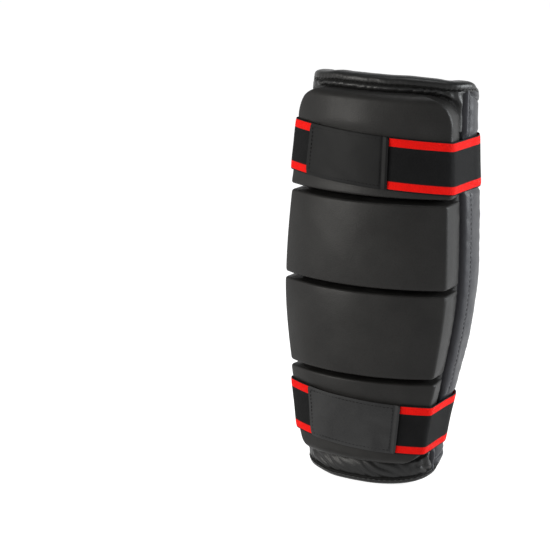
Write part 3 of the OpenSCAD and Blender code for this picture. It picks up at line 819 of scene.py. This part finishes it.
S, Z = np.meshgrid(np.linspace(-90, 90, 250), np.linspace(5.0, 355.0, 330))
Z = Z + hem_low(S) * ease((60 - Z) / 55) + (hem_high(S) - GUARD_H) * ease((Z - 300) / 55)
turn = ease((np.abs(S) - 80) / 9)
depth = np.minimum(mix(LINING_D + 1.0 + lining_depth(S, Z), WING_D + 1.6, turn), -6.0)
uv = np.stack([S * girth(Z), Z], -1)
grid = shell(S, depth, Z)
lining = slab("gathered_lining", shell(S, depth + 0.8, Z), grid, LINING, "guard", uv)
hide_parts("lining")
for i, q in enumerate(QUILT):
    s = np.arange(-84, 84.1, 1.5)
    pts = shell(s, LINING_D + 3.0, q)
    row = stitches(f"quilting_{i}", pts, shell(s, LINING_D + 2.0, q) - pts, THREAD, "guard",
                   pitch=3.6, length=2.4, radius=0.3, lift=0.1)

# ------------ inner calf band
BAND_Z, BAND_W, BAND_T = 179.0, 32.0, 1.4


def band_line(z, d):
    """The band's course: from inside the left wing, across behind the shin, to inside the right wing."""
    end = shell(146.0, d, z)
    x = np.linspace(0, float(end[0]), 60)
    y = float(end[1]) - 15.0 * np.cos(np.pi / 2 * x / float(end[0])) ** 1.3
    half = np.stack([x, y, z + 0 * x], -1)
    tail = shell(np.linspace(146, 120, 20)[1:], d, z)
    half = np.concatenate([half, tail])
    return np.concatenate([half[:0:-1] * [-1, 1, 1], half])


v = np.linspace(-1, 1, 13)
outer_rows, inner_rows = [], []
for q in v:
    thin = 0.35 * abs(q) ** 12
    a = band_line(BAND_Z + q * BAND_W / 2, WING_D - 0.8 - thin)
    b = band_line(BAND_Z + q * BAND_W / 2, WING_D - 0.8 - BAND_T + thin)
    x = a[:, 0]
    free = ease((60 - np.abs(x)) / 40)
    ripple = 0.9 * np.sin(x / 9.0 + 0.9 * q) + 0.7 * np.sin(x / 17.0 + 2 + 0.5 * q)
    ripple = ripple * free * (0.6 + 0.4 * q)
    sag = 0.8 * np.sin(x / 23.0 + 1.0) * free
    shift = np.stack([0 * x, ripple, sag], -1)
    outer_rows.append(a + shift)
    inner_rows.append(b + shift)
outer_rows, inner_rows = np.array(outer_rows), np.array(inner_rows)
run = np.concatenate([[0], np.cumsum(np.linalg.norm(np.diff(outer_rows[6], axis=0), axis=1))])
band_uv = np.stack(np.broadcast_arrays(run[None], (v * BAND_W / 2)[:, None]), -1)
band = slab("calf_band_elastic", outer_rows, inner_rows, BAND, "guard", band_uv)
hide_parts("calf_band")
for name, side in SIDES:
    for i, s0 in enumerate((124.0, 127.0)):
        z = np.arange(BAND_Z - 15, BAND_Z + 15.1, 1.5)
        pts = shell(side * s0, WING_D - 0.8 - BAND_T, z)
        inwards = shell(side * s0, -20.0, z) - shell(side * s0, -19.0, z)
        row = stitches(f"{name}_band_stitches_{i}", pts, inwards, THREAD, "guard",
                       pitch=2.8, length=2.0, radius=0.32)

# ------------ calf straps
ARCS = ((FACE_ARC, FACE_TURN), (CORNER_ARC, WALL_HEADING - FACE_TURN))
SIDE_S, REAR_S, SIDE_LIFT, REAR_LIFT, BLOCK_T, STRAP_T = 105.0, 151.0, 0.2, 1.9, 20.0, 1.6
ON_FACE = 75.0  # length along a block's face for a step of 1 in u


def strap_point(u, d, z):
    """A point of a strap that slants down to the right, at height z and d above what it lies on."""
    return level_point(u, d, z - SLANT * level_point(u, d, z)[..., 0])


def level_point(u, d, z):
    """The same for a level strap. u: 0 front centre, 1 end of the face, 2 end of the corner, 3 side
    of the wing, 4 rear of the wing, 5 rear centre, and on to 10 round the left side."""
    u, d, z = np.broadcast_arrays(*(np.asarray(v, float) for v in (u, d, z)))
    left = (u > 5) | (u < 0)
    a = np.where(u > 5, 10 - u, np.abs(u))
    k = girth(z)
    s = np.where(a <= 1, ON_FACE * a,
                 ON_FACE + (FACE_ARC + CORNER_ARC - ON_FACE) * np.minimum(a - 1, 1))
    x, y, h = walk(s, ARCS)
    bx, by = k * x + d * np.sin(h), bow(z) + k * (y - BLOCK_T) - d * np.cos(h)
    side = shell(SIDE_S, d + SIDE_LIFT, z)
    c = np.clip(a - 3, 0, 1)
    rear = shell(mix(SIDE_S, REAR_S, c), d + mix(SIDE_LIFT, REAR_LIFT, c), z)
    t = np.clip(a - 2, 0, 1)
    rear_x = rear[..., 0] * np.where(a > 4, 5 - a, 1)
    px = np.where(a <= 2, bx, np.where(a <= 3, mix(bx, side[..., 0], t), rear_x))
    py = np.where(a <= 2, by, np.where(a <= 3, mix(by, side[..., 1], t), rear[..., 1]))
    return np.stack([np.where(left, -px, px), py, z], -1)


def strap_stations(step=2.2):
    """Positions u about a step apart from the front centre right round the guard."""
    u = [0.0]
    for i, length in enumerate((75, 9, 22, 46, 55)):
        count = int(length / step)
        u += list(i + np.arange(1, count + 1) / count)
    u = np.array(u)
    return np.concatenate([u, (10 - u[-2::-1])])


STATIONS = strap_stations()


def end_trim(to_end, r):
    """How much narrower a strip is at a distance to_end from an end with corners of radius r."""
    return np.where(to_end < r, r - np.sqrt(np.clip(r ** 2 - (r - to_end) ** 2, 0, None)), 0.0)


def ribbon(name, us, mid_z, d_in, thick, mat, body, width=STRAP_W, along0=0.0, ends=0.0):
    """A flat strap through stations us, with soft edges. ends rounds the corners of both ends."""
    half = width / 2
    us = np.asarray(us, float)
    mid = strap_point(us, d_in, mid_z)
    run = along0 + np.concatenate([[0], np.cumsum(np.linalg.norm(np.diff(mid, axis=0), axis=1))])
    to_end = np.minimum(run - run[0], run[-1] - run)
    trim = end_trim(to_end, ends) if ends else 0 * run
    lo, hi, uvs = [], [], []
    for q in np.sin(np.linspace(-1, 1, 15) * math.pi / 2):
        soft = 0.4 * thick * abs(q) ** 16
        wave = 0.25 * np.sin(run / 13.0 + 2 * q) * abs(q)
        z = mid_z + q * (half - trim) + 0.15 * np.sin(run / 31.0)
        lo.append(strap_point(us, d_in + soft, z))
        hi.append(strap_point(us, d_in + thick - soft + np.maximum(wave, 0), z))
        uvs.append(np.stack([run, 0 * run + q * half], -1))
    return tube(name, np.stack(lo + hi[::-1], 1), mat, body, np.stack(uvs + uvs[::-1], 1)), run


def strap(label, mid_z, tab):
    """The elastic from the tab's free end right round to the tab's other end, in four pieces."""
    x, y, z = (float(q) for q in shell(REAR_S, 0.55 + REAR_LIFT, mid_z) * MM)
    cuts = (tab[1], 3.5, 5.0, 6.5, 10 + tab[0] + 0.13)
    run0 = 0.0
    for part, a, b in zip(("front", "right", "left", "end"), cuts[:-1], cuts[1:]):
        us = np.concatenate([[a], STATIONS[(STATIONS > a + 0.004) & (STATIONS < b - 0.004)], [b]])
        d = mix(0.2, 0.55, ease((us - 2.6) / 0.8))
        ob, run = ribbon(f"{label}_strap_{part}", us, mid_z, d, STRAP_T, STRAP, None, along0=run0)
        run0 = run[-1]
        if part == "front":
            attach(ob, "guard")
            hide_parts(f"{label}_strap_anchor")
        elif part == "right":
            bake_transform(ob)
            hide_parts(f"{label}_strap_back")
        elif part == "left":
            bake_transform(ob)
            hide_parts(f"{label}_strap_side")
        else:
            p = strap_point(8.7, 1.3, mid_z) * MM
            way = strap_point(8.72, 1.3, mid_z) * MM - p
            way = way / np.linalg.norm(way)
            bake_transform(ob)
            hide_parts(f"{label}_strap_end")


def fastening(label, mid_z, tab):
    """The pile on the block and the hooks under the tab."""
    for name, node_name, a, b, d, thick, mat, body, width in (
            ("loop_pile", "loop_patch", 0.14, 0.02, 0.1, 0.95, LOOPS, "guard", 41.0),
            ("hook_field", "hook_strip", 0.15, 0.03, 1.45, 0.65, HOOKS, f"{label}_closure", 40.0)):
        us = np.linspace(tab[0] + a, tab[1] - b, 40)
        ob, _ = ribbon(f"{label}_{name}", us, mid_z, d, thick, mat, body, width=width, ends=2.0)
        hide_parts(f"{label}_{node_name}")


def pull_tab(label, mid_z, tab):
    """The tab, with a raised fold by its free end, and the stitches round it."""
    half, length = 22.3, ON_FACE * (tab[1] - tab[0])
    s = np.concatenate([np.linspace(0, 4, 9), np.arange(5.5, length - 9, 1.6),
                        np.linspace(length - 8.5, length, 22)])
    us = tab[0] + s / ON_FACE
    off = length - s
    ridge = 0.75 * bump(off, 1.9, 1.2) - 0.55 * bump(off, 5.4, 1.3) - 0.45 * (1 - ease(s / 14.0))
    trim = end_trim(np.minimum(s, off), 3.2)
    lo, hi, uvs = [], [], []
    for q in np.sin(np.linspace(-1, 1, 21) * math.pi / 2):
        soft = 0.7 * abs(q) ** 14
        z = mid_z + q * (half - trim)
        sew = 0.1 * bump(half * (1 - abs(q)), 2.8, 0.7)
        lift = 0.22 * waves(s, q * 20 + 0 * s, 300 + int(mid_z), 34)
        lo.append(strap_point(us, 2.35 + 0.35 * soft, z))
        hi.append(strap_point(us, 3.45 - 0.8 * soft + ridge - sew + lift, z))
        uvs.append(np.stack([s, 0 * s + q * half], -1))
    ob = tube(f"{label}_pull_tab_cloth", np.stack(lo + hi[::-1], 1), TAB_CLOTHS_WITH_PAINTED_SHEEN[label], f"{label}_closure",
              np.stack(uvs + uvs[::-1], 1))
    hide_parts(f"{label}_pull_tab")
    there, back = np.arange(4, length - 7, 1.0), np.arange(length - 7, 4, -1.0)
    up, down = np.arange(-19, 19, 1.0), np.arange(19, -19, -1.0)
    u = tab[0] + np.concatenate([there, 0 * up + length - 7, back, 0 * up + 4]) / ON_FACE
    z = mid_z + np.concatenate([0 * there - 19.4, up, 0 * back + 19.4, down])
    pts = strap_point(u, 3.25, z)
    row = stitches(f"{label}_tab_stitches", pts, strap_point(u, 4.25, z) - pts, THREAD,
                   f"{label}_closure", pitch=3.4, length=2.3, radius=0.3, lift=0.05)


# Height of each strap's middle, and where its tab starts and ends, as u.
for spec in (("upper", UPPER_Z, (-0.76, 0.34)), ("lower", LOWER_Z, (-0.7, 0.68))):
    strap(*spec)
    fastening(*spec)
    pull_tab(*spec)

# ------------ floor, lights and camera
floor_mat, tree, sh, co = begin("pale_floor")
tone = spots(tree, co["Object"], 3.0, 2)
tree.links.new(mixed(tree, tone, (0.38, 0.38, 0.38, 1), (0.42, 0.42, 0.42, 1)), sh.inputs["Base Color"])
sh.inputs["Roughness"].default_value = 0.9
sh.inputs["Emission Color"].default_value = (1, 1, 1, 1)
sh.inputs["Specular IOR Level"].default_value = 0.0
sh.inputs["Emission Strength"].default_value = 0.87
me = bpy.data.meshes.new("floor")
half = 40.0
me.from_pydata([(-half, -half, 0), (half, -half, 0), (half, half, 0), (-half, half, 0)], [], [(0, 1, 2, 3)])
floor = bpy.data.objects.new("floor", me)
me.materials.append(floor_mat)
bpy.context.scene.collection.objects.link(floor)

world = bpy.data.worlds.new("studio")
bpy.context.scene.world = world
world.use_nodes = True
tree = world.node_tree
# White by the horizon and grey overhead.
way = node(tree, "ShaderNodeTexCoord").outputs["Generated"]
height = node(tree, "ShaderNodeSeparateXYZ", (("Vector", way),)).outputs["Z"]
tree.links.new(mixed(tree, span(tree, height, 0.24, 0.5), (1.02, 1.02, 1.02, 1), (0.23, 0.24, 0.25, 1)),
               tree.nodes["Background"].inputs["Color"])


def softbox(name, at, to, size, power, tint=(1, 1, 1)):
    """A square light at one place, turned to another."""
    light = bpy.data.lights.new(name, "AREA")
    light.energy, light.size, light.color = power, size, tint
    ob = bpy.data.objects.new(name, light)
    ob.location = at
    ob.rotation_euler = (Vector(to) - Vector(at)).to_track_quat("-Z", "Y").to_euler()
    bpy.context.scene.collection.objects.link(ob)


softbox("key", (-1.2, -1.45, 0.55), (0, 0, 0.25), 0.8, 34, (1.0, 0.98, 0.93))
softbox("rim", (1.35, 0.75, 0.6), (0, 0, 0.2), 0.8, 34, (0.94, 0.98, 1.0))
softbox("overhead", (0.1, 0.1, 1.9), (0, 0, 0.2), 1.0, 12)

cam = bpy.data.cameras.new("camera")
cam.lens, cam.sensor_width = 136.64, 36.0
camera = bpy.data.objects.new("camera", cam)
bpy.context.scene.collection.objects.link(camera)
# The camera looks down by 12 degrees and 26 degrees to the left of straight back, rolled by 2 degrees.
tilt, turn, roll = (math.radians(angle) for angle in (11.909, 25.654, 1.975))
eye = (0.6941, -1.6569, 0.5560)
forward = Vector((-math.sin(turn) * math.cos(tilt), math.cos(turn) * math.cos(tilt), -math.sin(tilt)))
right = forward.cross(Vector((0, 0, 1))).normalized()
up = right.cross(forward)
r_axis = right * math.cos(roll) + up * math.sin(roll)
u_axis = up * math.cos(roll) - right * math.sin(roll)
camera.matrix_world = Matrix([(r_axis[i], u_axis[i], -forward[i], eye[i]) for i in range(3)]
                             + [(0, 0, 0, 1)])
bpy.context.scene.camera = camera
bpy.context.scene.view_settings.view_transform = "Standard"
